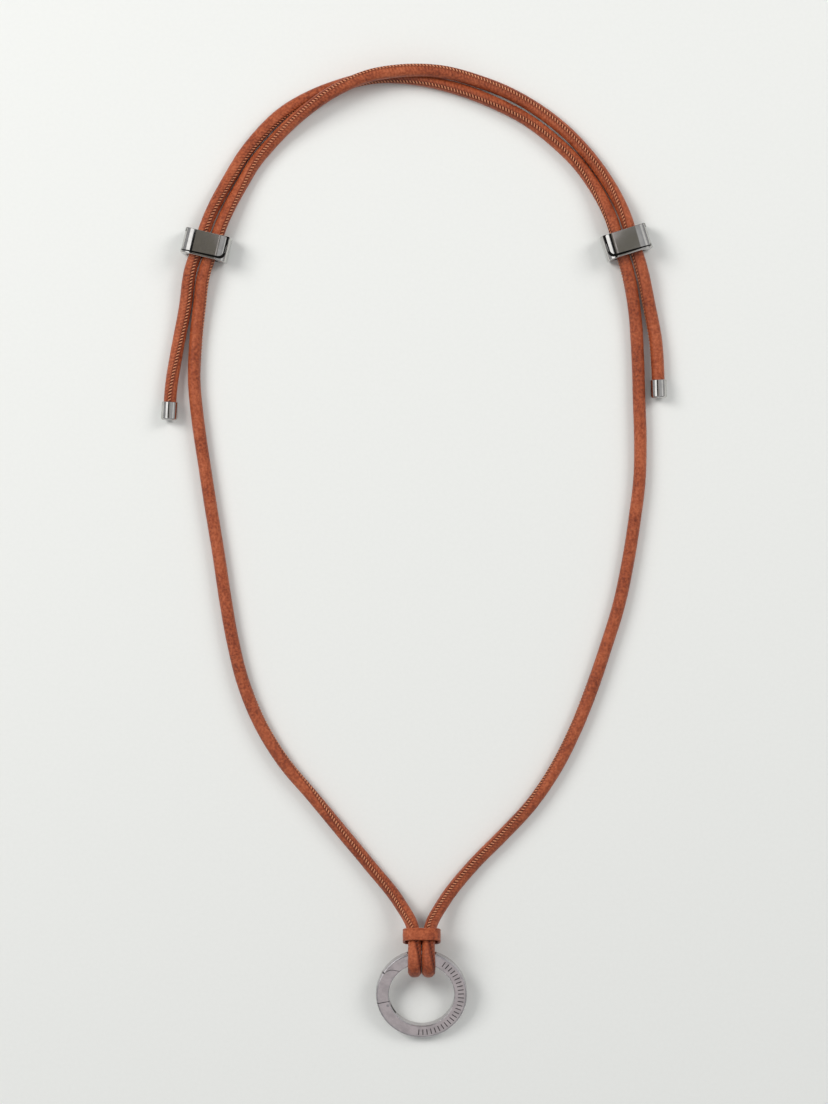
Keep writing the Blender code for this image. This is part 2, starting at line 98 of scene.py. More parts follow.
def surface(name, points, closed_rows=False, uv=None, sharp_deg=40.0):
    """Object from a (rows, columns, 3) grid in metres. Open rows get a flat cap at each end.

    uv is a (rows, columns + 1, 2) grid: its last column is the first one again, one turn on.
    """
    rows, columns, _ = points.shape
    faces = grid_faces(rows, columns, closed_rows=closed_rows).tolist()
    quads = len(faces)
    if not closed_rows:
        faces.append(list(range(columns))[::-1])
        faces.append(list(range((rows - 1) * columns, rows * columns)))
    mesh = bpy.data.meshes.new(name)
    mesh.from_pydata(points.reshape(-1, 3).tolist(), [], faces)
    if uv is not None:
        layer = mesh.uv_layers.new(name="UVMap")
        wide = uv.shape[1]
        low = np.arange(rows - 1)[:, None] * wide + np.arange(columns)[None, :]
        corners = np.stack([low, low + 1, low + wide + 1, low + wide], axis=-1).reshape(-1)
        values = np.zeros((len(mesh.loops), 2))
        values[:quads * 4] = uv.reshape(-1, 2)[corners]
        layer.data.foreach_set("uv", values.astype(np.float32).ravel())
    mesh.shade_smooth()
    mesh.set_sharp_from_angle(angle=math.radians(sharp_deg))
    print(f"{name}: {len(mesh.polygons)} faces")
    return add_object(name, mesh)


def finish_piece(piece, material, body, *nodes):
    """Give a piece its finish and its body, and let it stand for its CAD nodes."""
    piece.data.materials.clear()
    piece.data.materials.append(material)
    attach(piece, body)
    if nodes:
        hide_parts(*nodes)
    return piece


def finish_machined(piece, body, node):
    """A cut piece already has its finishes: give it its body, and let it stand for its CAD node."""
    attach(piece, body)
    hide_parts(node)
    print(f"{piece.name}: {len(piece.data.polygons)} faces after cutting")
    return piece


# %% [markdown]
# ## Shader sums
# A node tree is easier to read as a formula. This class wraps one socket, so that `a * b + 1`
# adds the Math nodes, and its `node` method makes any other node in one line.

# %% Shader sums
class Wire:
    """A socket of a node tree that can be used in sums."""

    def __init__(self, tree, socket=None):
        self.tree = tree
        self.socket = socket

    def node(self, kind, inputs=None, output=0, stops=None, **settings):
        """Add a node: its settings and ramp stops first, then its sockets' values or links."""
        made = self.tree.nodes.new(kind)
        for key, value in settings.items():
            setattr(made, key, value)
        for index, (position, colour) in enumerate(stops or []):
            ramp = made.color_ramp.elements
            stop = ramp[index] if index < 2 else ramp.new(position)
            stop.position = position
            stop.color = colour
        for key, value in (inputs or {}).items():
            if isinstance(value, Wire):
                self.tree.links.new(value.socket, made.inputs[key])
            else:
                made.inputs[key].default_value = value
        return Wire(self.tree, made.outputs[output])

    def math(self, operation, *values):
        return self.node("ShaderNodeMath", dict(enumerate(values)), operation=operation)

    def __add__(self, other):
        return self.math("ADD", self, other)

    __radd__ = __add__

    def __sub__(self, other):
        return self.math("SUBTRACT", self, other)

    def __rsub__(self, other):
        return self.math("SUBTRACT", other, self)

    def __mul__(self, other):
        return self.math("MULTIPLY", self, other)

    __rmul__ = __mul__

    def __truediv__(self, other):
        return self.math("DIVIDE", self, other)

    def size(self):
        return self.math("ABSOLUTE", self)

    def wave(self):
        return self.math("SINE", self)

    def part(self):
        """The part after the decimal point, which counts up once in each unit."""
        return self.math("FRACT", self)

    def ramp(self, low, high):
        """0 up to low, 1 from high on, and a smooth rise between them."""
        return self.node("ShaderNodeMapRange", {"Value": self, "From Min": low, "From Max": high},
                         interpolation_type="SMOOTHSTEP")

    def tint(self, low, high):
        """Colour low where this is 0, and high where it is 1."""
        return self.node("ShaderNodeMix", {0: self, 6: low, 7: high}, output=2, data_type="RGBA")


def new_material(name, **constants):
    """A Principled material, its shader node, and a wire with the place on the object."""
    made = bpy.data.materials.new(name)
    made.use_nodes = True
    shader = made.node_tree.nodes["Principled BSDF"]
    for key, value in constants.items():
        shader.inputs[key.replace("_", " ")].default_value = value
    return made, shader, Wire(made.node_tree).node("ShaderNodeTexCoord", output="Object")


def connect(wire, shader, socket):
    wire.tree.links.new(wire.socket, shader.inputs[socket])


def noise(place, scale, detail):
    """Cloudy values round a half; the scale is the number of clouds in each unit of place."""
    return place.node("ShaderNodeTexNoise", {"Vector": place, "Scale": scale, "Detail": detail})


def bump(height, distance, strength=1.0, under=None):
    """A normal that follows a height field, laid over another normal when one is given."""
    inputs = {"Height": height, "Distance": distance, "Strength": strength}
    if under is not None:
        inputs["Normal"] = under
    return height.node("ShaderNodeBump", inputs)


# %% [markdown]
# ## The cords' routes
# Each cord starts at its cut end inside the keeper, folds round the ring, runs up one side of the
# neck loop, through both sliders, and ends in its cap. A route is a short list of places chosen one
# by one. A smooth curve through them gives the rest: between two places it is a cubic whose slopes
# at both ends are those of the neighbouring places, so the bend never jumps.

# %% Routes in metres
LEFT_CORD_ROUTE = MM * np.array([
    (4.4, -118.2, 4.15), (4.4, -120.1, 3.95), (4.4, -123.5, 2.8), (4.4, -126.75, 4.15),
    (4.4, -128.1, 7.4), (4.4, -126.75, 10.65), (4.4, -123.5, 12.0), (4.4, -121.2, 11.38),
    (4.5, -118.55, 9.57), (4.9, -115.0, 7.25), (9.2, -107.2, 3.4), (18.0, -96.3, 2.05),
    (27.0, -87.2, 2.0),
    (36.0, -77.5, 2.0), (43.5, -66.5, 2.0), (49.6, -54.5, 2.0), (54.6, -42.0, 2.0),
    (58.8, -29.5, 2.0), (62.7, -17.0, 2.0), (65.6, -3.5, 2.0), (67.7, 9.7, 2.0),
    (69.2, 22.0, 2.0), (69.5, 34.0, 2.0), (69.1, 47.0, 2.0), (68.7, 60.0, 2.0),
    (67.5, 75.5, 2.3), (65.48, 86.14, 3.5), (62.95, 94.15, 3.5), (60.42, 102.16, 3.5),
    (54.9, 113.0, 2.0), (50.4, 119.1, 2.0), (44.5, 125.0, 2.0), (33.4, 133.5, 2.0),
    (25.4, 137.6, 2.0), (13.5, 142.2, 2.0), (1.6, 145.1, 2.0), (-13.7, 145.5, 2.0),
    (-23.2, 143.1, 2.0), (-29.7, 140.7, 2.0), (-40.9, 134.3, 2.0), (-47.3, 128.1, 2.0),
    (-52.5, 121.6, 2.0), (-56.3, 115.3, 2.1), (-62.86, 102.34, 3.5), (-65.62, 94.62, 3.5),
    (-68.38, 86.9, 3.5), (-70.3, 74.7, 2.3), (-72.8, 61.5, 2.0), (-74.6, 49.8, 2.4),
    (-75.07, 41.8, 2.5),
])
RIGHT_CORD_ROUTE = MM * np.array([
    (0.2, -118.2, 4.15), (0.2, -120.1, 3.95), (0.2, -123.5, 2.8), (0.2, -126.75, 4.15),
    (0.2, -128.1, 7.4), (0.2, -126.75, 10.65), (0.2, -123.5, 12.0), (0.2, -121.2, 11.38),
    (0.1, -118.55, 9.57), (-0.3, -115.0, 7.25), (-4.7, -107.2, 3.4), (-13.6, -96.2, 2.05),
    (-22.4, -85.6, 2.0),
    (-31.0, -75.2, 2.0), (-40.0, -64.6, 2.0), (-47.2, -53.0, 2.0), (-52.4, -40.3, 2.0),
    (-55.6, -27.5, 2.0), (-58.0, -14.0, 2.0), (-60.1, 0.0, 2.0), (-62.4, 14.0, 2.0),
    (-64.4, 27.0, 2.0), (-66.3, 40.0, 2.0), (-67.5, 53.0, 2.0), (-67.1, 64.0, 2.0),
    (-66.0, 74.5, 2.4), (-64.34, 85.46, 3.5), (-61.58, 93.18, 3.5), (-58.82, 100.9, 3.5),
    (-52.6, 113.3, 2.0), (-49.0, 119.3, 2.0), (-44.1, 125.1, 2.3), (-34.2, 134.4, 4.3),
    (-22.6, 141.9, 6.1), (-13.7, 145.5, 6.35), (-4.5, 147.05, 6.1), (8.0, 147.05, 5.0),
    (20.9, 144.0, 2.7), (27.2, 141.7, 2.0), (36.2, 136.9, 2.0), (47.5, 128.2, 2.0),
    (53.5, 121.8, 2.0), (58.4, 115.2, 2.0), (64.52, 103.46, 3.5), (67.05, 95.45, 3.5),
    (69.58, 87.44, 3.5), (72.1, 76.2, 2.3), (74.3, 64.5, 2.0), (74.87, 55.5, 2.4),
    (75.09, 48.6, 2.5),
])


# %% A smooth curve through a route
def smooth_route(knots, spacing):
    """Evenly spaced points on the cubics between the knots, with slopes from their neighbours."""
    chord = np.linalg.norm(np.diff(knots, axis=0), axis=1)
    along = np.concatenate([[0.0], np.cumsum(chord)])
    slope = np.gradient(knots, along, axis=0)
    at = np.linspace(0.0, along[-1], int(along[-1] / spacing * 2.0))
    index = np.clip(np.searchsorted(along, at, side="right") - 1, 0, len(chord) - 1)
    length = chord[index][:, None]
    t = (at - along[index])[:, None] / length
    points = ((2 * t**3 - 3 * t**2 + 1) * knots[index] + (3 * t**2 - 2 * t**3) * knots[index + 1]
              + length * ((t**3 - 2 * t**2 + t) * slope[index] + (t**3 - t**2) * slope[index + 1]))
    walked = np.concatenate([[0.0], np.cumsum(np.linalg.norm(np.diff(points, axis=0), axis=1))])
    even = np.linspace(0.0, walked[-1], int(walked[-1] / spacing) + 1)
    return np.stack([np.interp(even, walked, points[:, axis]) for axis in range(3)], axis=1), even


# %% [markdown]
# ## Directions across a cord
# To put a round section on a curve, each place needs two directions across it. "Side" is level,
# at right angles to the way the cord runs, and "top" is at right angles to both. Where the cord
# folds round the ring it stands on end, so there the side direction is simply the X axis.

# %% Directions along a path
LOOP_STARTS_Y = -0.112
LOOP_FULLY_Y = -0.117


def unit(vectors):
    return vectors / np.linalg.norm(vectors, axis=-1, keepdims=True)


def directions(path):
    """Forward, side and top at each point of a path, each a unit vector."""
    forward = unit(np.gradient(path, axis=0))
    level = np.stack([forward[:, 1], -forward[:, 0], np.zeros(len(path))], axis=1)
    share = np.clip((LOOP_STARTS_Y - path[:, 1:2]) / (LOOP_STARTS_Y - LOOP_FULLY_Y), 0.0, 1.0)
    blended = share * np.array([1.0, 0.0, 0.0]) + (1.0 - share) * level
    side = unit(blended - forward * np.sum(blended * forward, axis=1, keepdims=True))
    return forward, side, np.cross(side, forward)


# %% [markdown]
# ## A stitched round cord
# Real cord of this kind is a strip of calf leather folded round a filler and whip-stitched along
# one line. The edges meet in a shallow furrow, and the thread pulls the leather in at each
# stitch. The furrow wanders slowly round the cord because the cord twists as it is laid down, so
# its angle is set at a few distances and eased between them.

# %% Cord shape
CORD_DIAMETER = 4.0 * MM
CORD_RADIUS = CORD_DIAMETER / 2.0
FURROW_DEPTH = 0.20 * MM
FURROW_HALF_WIDTH = 0.28 * MM
LIP_HEIGHT = 0.06 * MM
LIP_OFFSET = 0.62 * MM
LIP_HALF_WIDTH = 0.30 * MM
FULLNESS = 0.02 * MM
FULLNESS_WAVES = (7.0 * MM, 11.3 * MM)
RING_SPACING = 0.6 * MM
COLUMNS = 40
COLUMN_CROWDING = 1.6

# Turn of the seam from the top of the cord, in degrees, at shares of the cord's length.
LEFT_SEAM = [(0.0, 150), (0.07, -25), (0.13, -20), (0.2, -70), (0.3, -150), (0.46, -165),
             (0.54, -60), (0.6, -5), (0.68, -30), (0.76, -75), (0.83, -50), (0.88, -20),
             (0.93, -35), (1.0, 5)]
RIGHT_SEAM = [(0.0, 160), (0.07, -15), (0.13, 10), (0.2, 75), (0.3, 150), (0.42, 160), (0.49, 75),
              (0.55, 40), (0.62, -10), (0.7, -50), (0.78, -20), (0.85, -5), (0.92, 60), (1.0, 120)]


def ease(t):
    """A smooth step from 0 to 1."""
    return t * t * (3.0 - 2.0 * t)


def seam_angle(turns, walked):
    """Seam angle in radians at each distance, eased between the chosen turns."""
    shares, degrees = np.array(turns, dtype=float).T
    share = walked / walked[-1]
    index = np.clip(np.searchsorted(shares, share, side="right") - 1, 0, len(shares) - 2)
    t = (share - shares[index]) / (shares[index + 1] - shares[index])
    return np.radians(degrees[index] + ease(t) * (degrees[index + 1] - degrees[index]))


PRESSED_THIN = 0.10
PRESSED_WIDE = 0.05
FOLD_BEGINS_Y = -0.1195
FOLD_EASE = 0.003


def pressed(path):
    """1 where a cord is bent hard round the ring, easing to 0 at the keeper."""
    return ease(np.clip((FOLD_BEGINS_Y - path[:, 1]) / FOLD_EASE, 0.0, 1.0))


def cord_piece(name, path, walked, seam):
    """A tube with a furrow: radius = round part - furrow at the seam + a soft lip on each side."""
    _, side, top = directions(path)
    t = np.linspace(-1.0, 1.0, COLUMNS + 1)
    away = np.pi * np.sign(t) * np.abs(t) ** COLUMN_CROWDING
    from_seam = away * CORD_RADIUS
    furrow = FURROW_DEPTH * np.exp(-(from_seam / FURROW_HALF_WIDTH) ** 2)
    lips = LIP_HEIGHT * np.exp(-((np.abs(from_seam) - LIP_OFFSET) / LIP_HALF_WIDTH) ** 2)
    first_wave, second_wave = FULLNESS_WAVES
    fullness = FULLNESS * np.sin(walked / first_wave) * np.sin(walked / second_wave)
    radius = (CORD_RADIUS - furrow + lips)[None, :] + fullness[:, None] - LIP_HEIGHT
    angle = (seam[:, None] + away[None, :])[:, :, None]
    flat = pressed(path)[:, None, None]
    points = path[:, None, :] + radius[:, :, None] * (
        (1.0 - PRESSED_THIN * flat) * np.cos(angle) * top[:, None, :]
        + (1.0 + PRESSED_WIDE * flat) * np.sin(angle) * side[:, None, :])
    uv = np.empty((len(path), COLUMNS + 1, 2))
    uv[:, :, 0] = from_seam[None, :] / MM
    uv[:, :, 1] = walked[:, None] / MM
    return surface(name, points[:, :-1], uv=uv, sharp_deg=60.0)


# %% [markdown]
# ## The stitches
# Each stitch is a short bent bar of thread that leans across the furrow and dips into the leather
# at both ends. All the stitches of a cord are worked out in one go: the distance along a stitch,
# the way round its thread and the stitch's number are three axes of one array. The sewing starts
# after the fold round the ring and ends at the mouth of the cap.

# %% Stitches
STITCH_PITCH = 1.0 * MM
STITCH_LENGTH = 1.6 * MM
STITCH_LEAN = math.radians(58.0)
STITCH_SINK = 0.06 * MM
STITCH_DIP = 0.25 * MM
THREAD_RADIUS = 0.20 * MM
THREAD_SIDES = 6
SEWN_FROM = 0.055
SEWN_TO = 0.992


def stitches(name, path, walked, seam):
    """Bent bars: each point is the seam's place, moved along and round, plus a thread radius."""
    forward, side, top = directions(path)
    at = np.arange(walked[-1] * SEWN_FROM, walked[-1] * SEWN_TO, STITCH_PITCH)

    def pick(values):
        columns = [np.interp(at, walked, values[:, axis]) for axis in range(3)]
        return np.stack(columns, axis=1)[:, None, None, :]

    middle, forward, side, top = pick(path), pick(forward), pick(side), pick(top)
    flat = np.interp(at, walked, pressed(path))[:, None, None, None]
    top_scale, side_scale = 1.0 - PRESSED_THIN * flat, 1.0 + PRESSED_WIDE * flat
    turn = np.interp(at, walked, seam)[:, None, None, None]
    t = np.array([-1.0, -0.8, -0.4, 0.0, 0.4, 0.8, 1.0])[None, :, None, None]
    round_thread = np.linspace(0.0, 2.0 * np.pi, THREAD_SIDES, endpoint=False)[None, None, :, None]
    reach = t * STITCH_LENGTH / 2.0
    angle = turn + reach * math.sin(STITCH_LEAN) / CORD_RADIUS
    out = np.cos(angle) * top + np.sin(angle) * side
    around = -np.sin(angle) * top + np.cos(angle) * side
    across = math.cos(STITCH_LEAN) * around - math.sin(STITCH_LEAN) * forward
    height = CORD_RADIUS - STITCH_SINK - STITCH_DIP * t ** 4
    thick = THREAD_RADIUS * np.sqrt(np.clip(1.06 - t ** 2, 0.0, 1.0))
    pressed_out = top_scale * np.cos(angle) * top + side_scale * np.sin(angle) * side
    points = (middle + reach * math.cos(STITCH_LEAN) * forward + height * pressed_out
              + thick * (np.cos(round_thread) * out + np.sin(round_thread) * across))
    count, rows, columns, _ = points.shape
    one = grid_faces(rows, columns)
    ends = np.array([list(range(columns))[::-1],
                     list(range((rows - 1) * columns, rows * columns))])
    first = (np.arange(count) * rows * columns)[:, None, None]
    faces = ((one[None] + first).reshape(-1, 4).tolist()
             + (ends[None] + first).reshape(-1, columns).tolist())
    mesh = bpy.data.meshes.new(name)
    mesh.from_pydata(points.reshape(-1, 3).tolist(), [], faces)
    mesh.shade_smooth()
    print(f"{name}: {count} stitches, {len(faces)} faces")
    return add_object(name, mesh)


# %% [markdown]
# ## Calf leather
# Glazed calf has a warm body colour that clouds from place to place, a fine pebble grain, hairline
# creases where it has bent, and a soft shine. The seam needs more: painted shade in the furrow and
# in a needle hole at the end of each stitch, and painted highlight and painted shade on the ribs
# between the stitches, lighter on their crests and darker in their troughs. The cord's UV map
# counts millimetres from the seam and along the cord, so these marks follow the seam wherever it
# wanders.

# %% Leather
LEATHER_DARK = (0.150, 0.026, 0.009, 1.0)
LEATHER_MID = (0.33, 0.070, 0.023, 1.0)
LEATHER_LIGHT = (0.50, 0.135, 0.052, 1.0)
# Colour of the painted shade inside each needle hole.
LEATHER_HOLE_SHADE = (0.110, 0.022, 0.010, 1.0)
PITCH_MM = STITCH_PITCH / MM
HOLE_LONG = 0.30
HOLE_WIDE = 0.34
HOLE_SLANT = 0.45
RIB_SLANT = 2.6
GRAIN_HEIGHT = 0.05 * MM
SEAM_HEIGHT = 0.16 * MM


def leather(name, seam):
    made, shader, place = new_material(name, Coat_Roughness=0.3, Coat_Weight=0.10,
                                       Specular_IOR_Level=0.32)
    clouds = noise(place, 120.0, 5.0)
    pebble = place.node("ShaderNodeTexVoronoi", {"Vector": place, "Scale": 2300.0})
    fine = noise(place, 1400.0, 4.0)
    tone = clouds.ramp(0.25, 0.75) * 0.3 + fine.ramp(0.25, 0.75) * 0.5 + 0.1
    colour = tone.node("ShaderNodeValToRGB", {"Fac": tone}, stops=[
        (0.15, LEATHER_DARK), (0.5, LEATHER_MID), (0.9, LEATHER_LIGHT)])
    normal = bump(pebble * 0.4 + fine * 0.6, GRAIN_HEIGHT, 0.5)
    roughness = 0.38 + fine * 0.2
    if seam:
        uv = place.node("ShaderNodeTexCoord", output="UV")
        across = place.node("ShaderNodeSeparateXYZ", {0: uv}, output=0)
        along = place.node("ShaderNodeSeparateXYZ", {0: uv}, output=1)

        # Holes: one slit of painted shade for each stitch, leaning with the thread.
        step = (along / PITCH_MM - across * HOLE_SLANT).part() - 0.5
        slit_along = step * (PITCH_MM / HOLE_LONG)
        slit_across = across / HOLE_WIDE
        hole = 1.0 - (slit_along * slit_along + slit_across * slit_across).ramp(0.35, 1.2)

        # Ribs: the leather between two stitches swells beside the seam, and fades away from it.
        # Its crests are painted lighter and its troughs darker, as painted highlight and painted
        # shade.
        beside = across.ramp(0.15, 0.5) * (1.0 - across.ramp(1.3, 2.3))
        rib = (along * (2.0 * math.pi / PITCH_MM) - across * RIB_SLANT).wave()
        ribs = rib * beside

        # Creases: short light lines across the cord, where it has been bent.
        wander = noise(place, 500.0, 1.0)
        fold = place.node("ShaderNodeTexNoise", {"W": along * 0.55 + wander * 1.2, "Scale": 1.0,
                                                 "Detail": 3.0}, noise_dimensions="1D")
        crease = fold.ramp(0.64, 0.70) * (1.0 - fold.ramp(0.70, 0.76))

        # Furrow: painted shade in the groove where the edges meet, and dull.
        furrow = 1.0 - across.size().ramp(0.6, 1.1)
        colour = (crease * 0.4).tint(colour, LEATHER_LIGHT)
        # Painted shade in the seam's furrow.
        colour = (furrow * 0.8).tint(colour, LEATHER_DARK)
        # Painted highlight on the rib crests and painted shade in the rib troughs.
        colour = (ribs.ramp(0.1, 0.9) * 0.3).tint(colour, LEATHER_LIGHT)
        colour = ((ribs * -1.0).ramp(0.1, 0.9) * 0.3).tint(colour, LEATHER_DARK)
        # Painted shade in the needle holes.
        colour = hole.tint(colour, LEATHER_HOLE_SHADE)
        normal = bump(ribs * 0.3 - hole * 1.5 - crease * 0.5, SEAM_HEIGHT, 0.9, under=normal)
        roughness = roughness + furrow * 0.15
    connect(colour, shader, "Base Color")
    connect(roughness, shader, "Roughness")
    connect(normal, shader, "Normal")
    return made


cord_leather = leather("calf_leather_stitched", seam=True)
band_leather = leather("calf_leather_plain", seam=False)
print("leather materials made")

# %% Thread
THREAD_DARK = (0.52, 0.17, 0.075, 1.0)
THREAD_LIGHT = (0.76, 0.33, 0.17, 1.0)
FIBRE_HEIGHT = 0.03 * MM


def waxed_thread():
    made, shader, place = new_material("waxed_thread", Roughness=0.55)
    fibres = noise(place, 6000.0, 2.0)
    connect(fibres.tint(THREAD_DARK, THREAD_LIGHT), shader, "Base Color")
    connect(bump(fibres, FIBRE_HEIGHT, 0.5), shader, "Normal")
    return made


thread = waxed_thread()

# %% Lay both cords
cords = {}
for label, route, turns in (("left_cord", LEFT_CORD_ROUTE, LEFT_SEAM),
                            ("right_cord", RIGHT_CORD_ROUTE, RIGHT_SEAM)):
    path, walked = smooth_route(route, RING_SPACING)
    seam = seam_angle(turns, walked)
    piece = cord_piece(label + "_leather", path, walked, seam)
    finish_piece(piece, cord_leather, "cords", label)
    finish_piece(stitches(label + "_stitches", path, walked, seam), thread, "cords")
    cords[label] = (piece, path, walked)
    print(label, "length", round(walked[-1] / MM, 1), "mm")

# %% [markdown]
# ## Turned end caps
# A cap is a cup spun on a lathe: the profile runs from the closed end's middle, round the corner,
# up the outside, over the lip and down the bore. Turning it about its own axis gives the surface.
# The axis is the line of the cord's last few millimetres.

# %% Turning
def lathe(name, profile, origin, axis, columns=64):
    """Points at radius r and height h of the profile, turned about an axis through the origin."""
    axis = unit(np.asarray(axis, dtype=float))
    first = unit(np.cross(axis, [0.0, 0.0, 1.0] if abs(axis[2]) < 0.9 else [1.0, 0.0, 0.0]))
    second = np.cross(axis, first)
    angle = np.linspace(0.0, 2.0 * np.pi, columns, endpoint=False)[None, :, None]
    radius = profile[:, 0][:, None, None]
    height = profile[:, 1][:, None, None]
    points = origin + height * axis + radius * (np.cos(angle) * first + np.sin(angle) * second)
    return surface(name, points)


def arc(centre, radius, start_deg, end_deg, steps=8):
    """Points of a circle as an (n, 2) array."""
    angle = np.radians(np.linspace(start_deg, end_deg, steps + 1))
    return np.array(centre) + radius * np.stack([np.cos(angle), np.sin(angle)], axis=1)


# %% [markdown]
# ## Polished metal
# The fittings are plated in dark nickel and buffed. A mirror finish is never quite even: buffing
# leaves hair-fine scratches and a slow haze, so the roughness changes a little over the surface.
# The recess under a cover and the faces that cutters leave in the sliders and the ring, round the
# channels, slots, grooves and gaps, are painted near black as painted shade, and the ticks cut in
# the ring are blackened.

# %% Metals
HAZE_SHADE = 0.86
SCRATCH_HEIGHT = 0.003 * MM


def plated(name, colour, roughness, haze, scratches):
    made, shader, place = new_material(name, Metallic=1.0)
    cloud = noise(place, 420.0, 3.0)
    stretched = place.node("ShaderNodeMapping", {"Vector": place, "Scale": (9000.0, 700.0, 3000.0)})
    hairs = noise(stretched, 1.0, 2.0)
    dull = tuple(value * HAZE_SHADE for value in colour) + (1.0,)
    connect(cloud.ramp(0.35, 0.7).tint((*colour, 1.0), dull), shader, "Base Color")
    connect(roughness + cloud.ramp(0.4, 0.75) * haze, shader, "Roughness")
    connect(bump(hairs, SCRATCH_HEIGHT, scratches), shader, "Normal")
    return made


fitting_metal = plated("dark_nickel", (0.56, 0.55, 0.53), 0.08, 0.06, 0.15)
ring_metal = plated("satin_nickel", (0.56, 0.535, 0.54), 0.16, 0.08, 0.25)
tick_metal = plated("blackened_nickel", (0.16, 0.15, 0.15), 0.35, 0.1, 0.2)
# Near-black painted shade for recesses, channels, slots and gaps between parts.
recess_painted_shade = plated("painted_shade_plating", (0.035, 0.034, 0.033), 0.5, 0.1, 0.1)
pin_metal = plated("ground_steel", (0.40, 0.40, 0.41), 0.24, 0.1, 0.4)
spring_metal = plated("spring_steel", (0.52, 0.52, 0.50), 0.28, 0.1, 0.4)


def silicone():
    made, shader, place = new_material("grip_silicone", Roughness=0.7)
    dust = noise(place, 900.0, 3.0)
    connect(dust.tint((0.012, 0.012, 0.013, 1.0), (0.04, 0.04, 0.042, 1.0)), shader, "Base Color")
    return made


grip_silicone = silicone()
print("metal and silicone made")

# %% End caps
CAP_RADIUS = 2.5 * MM
CAP_BORE = 2.12 * MM
CAP_LENGTH = 5.6 * MM
CAP_DEPTH = 4.4 * MM
CAP_ROUND = 0.7 * MM
CAP_CENTRE = 0.02 * MM
CAP_AXIS_POINTS = 12
LIP_ROUND = 0.18 * MM
LIP_INSIDE = LIP_ROUND * 0.8

cap_profile = np.concatenate([
    [(CAP_CENTRE, 0.0)],
    arc((CAP_RADIUS - CAP_ROUND, CAP_ROUND), CAP_ROUND, -90.0, 0.0),
    arc((CAP_RADIUS - LIP_ROUND, CAP_LENGTH - LIP_ROUND), LIP_ROUND, 0.0, 90.0, 5),
    arc((CAP_BORE + LIP_INSIDE, CAP_LENGTH - LIP_INSIDE), LIP_INSIDE, 90.0, 180.0, 5),
    [(CAP_BORE, CAP_LENGTH - CAP_DEPTH), (CAP_CENTRE, CAP_LENGTH - CAP_DEPTH)],
])
for label in ("left", "right"):
    _, path, _ = cords[label + "_cord"]
    low, high = (np.array(corner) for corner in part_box(label + "_end_cap"))
    axis = unit((path[-CAP_AXIS_POINTS] - path[-1]) * np.array([1.0, 1.0, 0.0]))
    origin = (low + high) / 2.0 - axis * CAP_LENGTH / 2.0
    cap = lathe(label + "_end_cap_cup", cap_profile, origin, axis)
    finish_piece(cap, fitting_metal, "cords", label + "_end_cap")

# %% [markdown]
# ## The keeper band
# The keeper is a strip of the same leather wrapped round the strands and glued. It is modelled as
# a section carried round a rounded rectangle: the face is crowned, its long edges are rolled over,
# and a creased line runs beside each edge.

# %% Keeper band
KEEPER_LEAN = math.radians(14.0)
KEEPER_LENGTH = 3.8 * MM
KEEPER_HALF_WIDTH = 5.8 * MM
KEEPER_HALF_HEIGHT = 6.05 * MM
KEEPER_CORNER = 3.2 * MM
KEEPER_WALL = 0.92 * MM
CROWN = 0.10 * MM
CREASE_INSET = 0.62 * MM
CREASE_HALF_WIDTH = 0.12 * MM
CREASE_DEPTH = 0.09 * MM


def rounded_rectangle(half_width, half_height, corner, steps=14, straight=10):
    """Closed outline with its outward directions: four arcs joined by straight runs."""
    places, outward = [], []
    for quarter in range(4):
        sign_x = (1, -1, -1, 1)[quarter]
        sign_y = (1, 1, -1, -1)[quarter]
        centre = np.array([sign_x * (half_width - corner), sign_y * (half_height - corner)])
        angle = np.radians(np.linspace(90.0 * quarter, 90.0 * quarter + 90.0, steps + 1))
        spoke = np.stack([np.cos(angle), np.sin(angle)], axis=1)
        places.append(centre + corner * spoke)
        outward.append(spoke)
    result, normals = [], []
    for quarter in range(4):
        after = (quarter + 1) % 4
        t = np.linspace(0.0, 1.0, straight + 2)[1:-1, None]
        run = places[quarter][-1] + t * (places[after][0] - places[quarter][-1])
        result += [places[quarter], run]
        normals += [outward[quarter], np.repeat(outward[quarter][-1:], straight, axis=0)]
    return np.concatenate(result), np.concatenate(normals)


def band_section():
    """Half-round long edges and a crowned face; the creases are two shallow dips in the face."""
    half = KEEPER_LENGTH / 2.0
    edge = KEEPER_WALL / 2.0
    t = np.linspace(-1.0, 1.0, 29)
    face = np.stack([t * (half - edge * 0.8), np.zeros(len(t))], axis=1)
    dip = np.exp(-((np.abs(face[:, 0]) - (half - CREASE_INSET)) / CREASE_HALF_WIDTH) ** 2)
    face[:, 1] = CROWN * (1.0 - t ** 2) - CREASE_DEPTH * dip - CROWN
    right = arc((half - edge, -edge), edge, 80.0, -80.0, 10)
    inner = np.array([(half - edge, -KEEPER_WALL), (0.0, -KEEPER_WALL),
                      (-half + edge, -KEEPER_WALL)])
    left = arc((-half + edge, -edge), edge, 260.0, 100.0, 10)
    return np.concatenate([face, right, inner, left])


outline, outward = rounded_rectangle(KEEPER_HALF_WIDTH, KEEPER_HALF_HEIGHT, KEEPER_CORNER)
section = band_section()
keeper_axis = np.array([0.0, math.cos(KEEPER_LEAN), -math.sin(KEEPER_LEAN)])
keeper_up = np.array([0.0, math.sin(KEEPER_LEAN), math.cos(KEEPER_LEAN)])
keeper_middle = sum(np.array(corner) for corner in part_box("keeper_band")) / 2.0
flat = outline[:, None, :] + section[None, :, 1, None] * outward[:, None, :]
keeper_points = (keeper_middle + flat[:, :, 0:1] * np.array([1.0, 0.0, 0.0])
                 + flat[:, :, 1:2] * keeper_up + section[None, :, 0, None] * keeper_axis)
keeper = surface("keeper_band_leather", keeper_points, closed_rows=True, sharp_deg=70.0)
finish_piece(keeper, band_leather, "cords", "keeper_band")

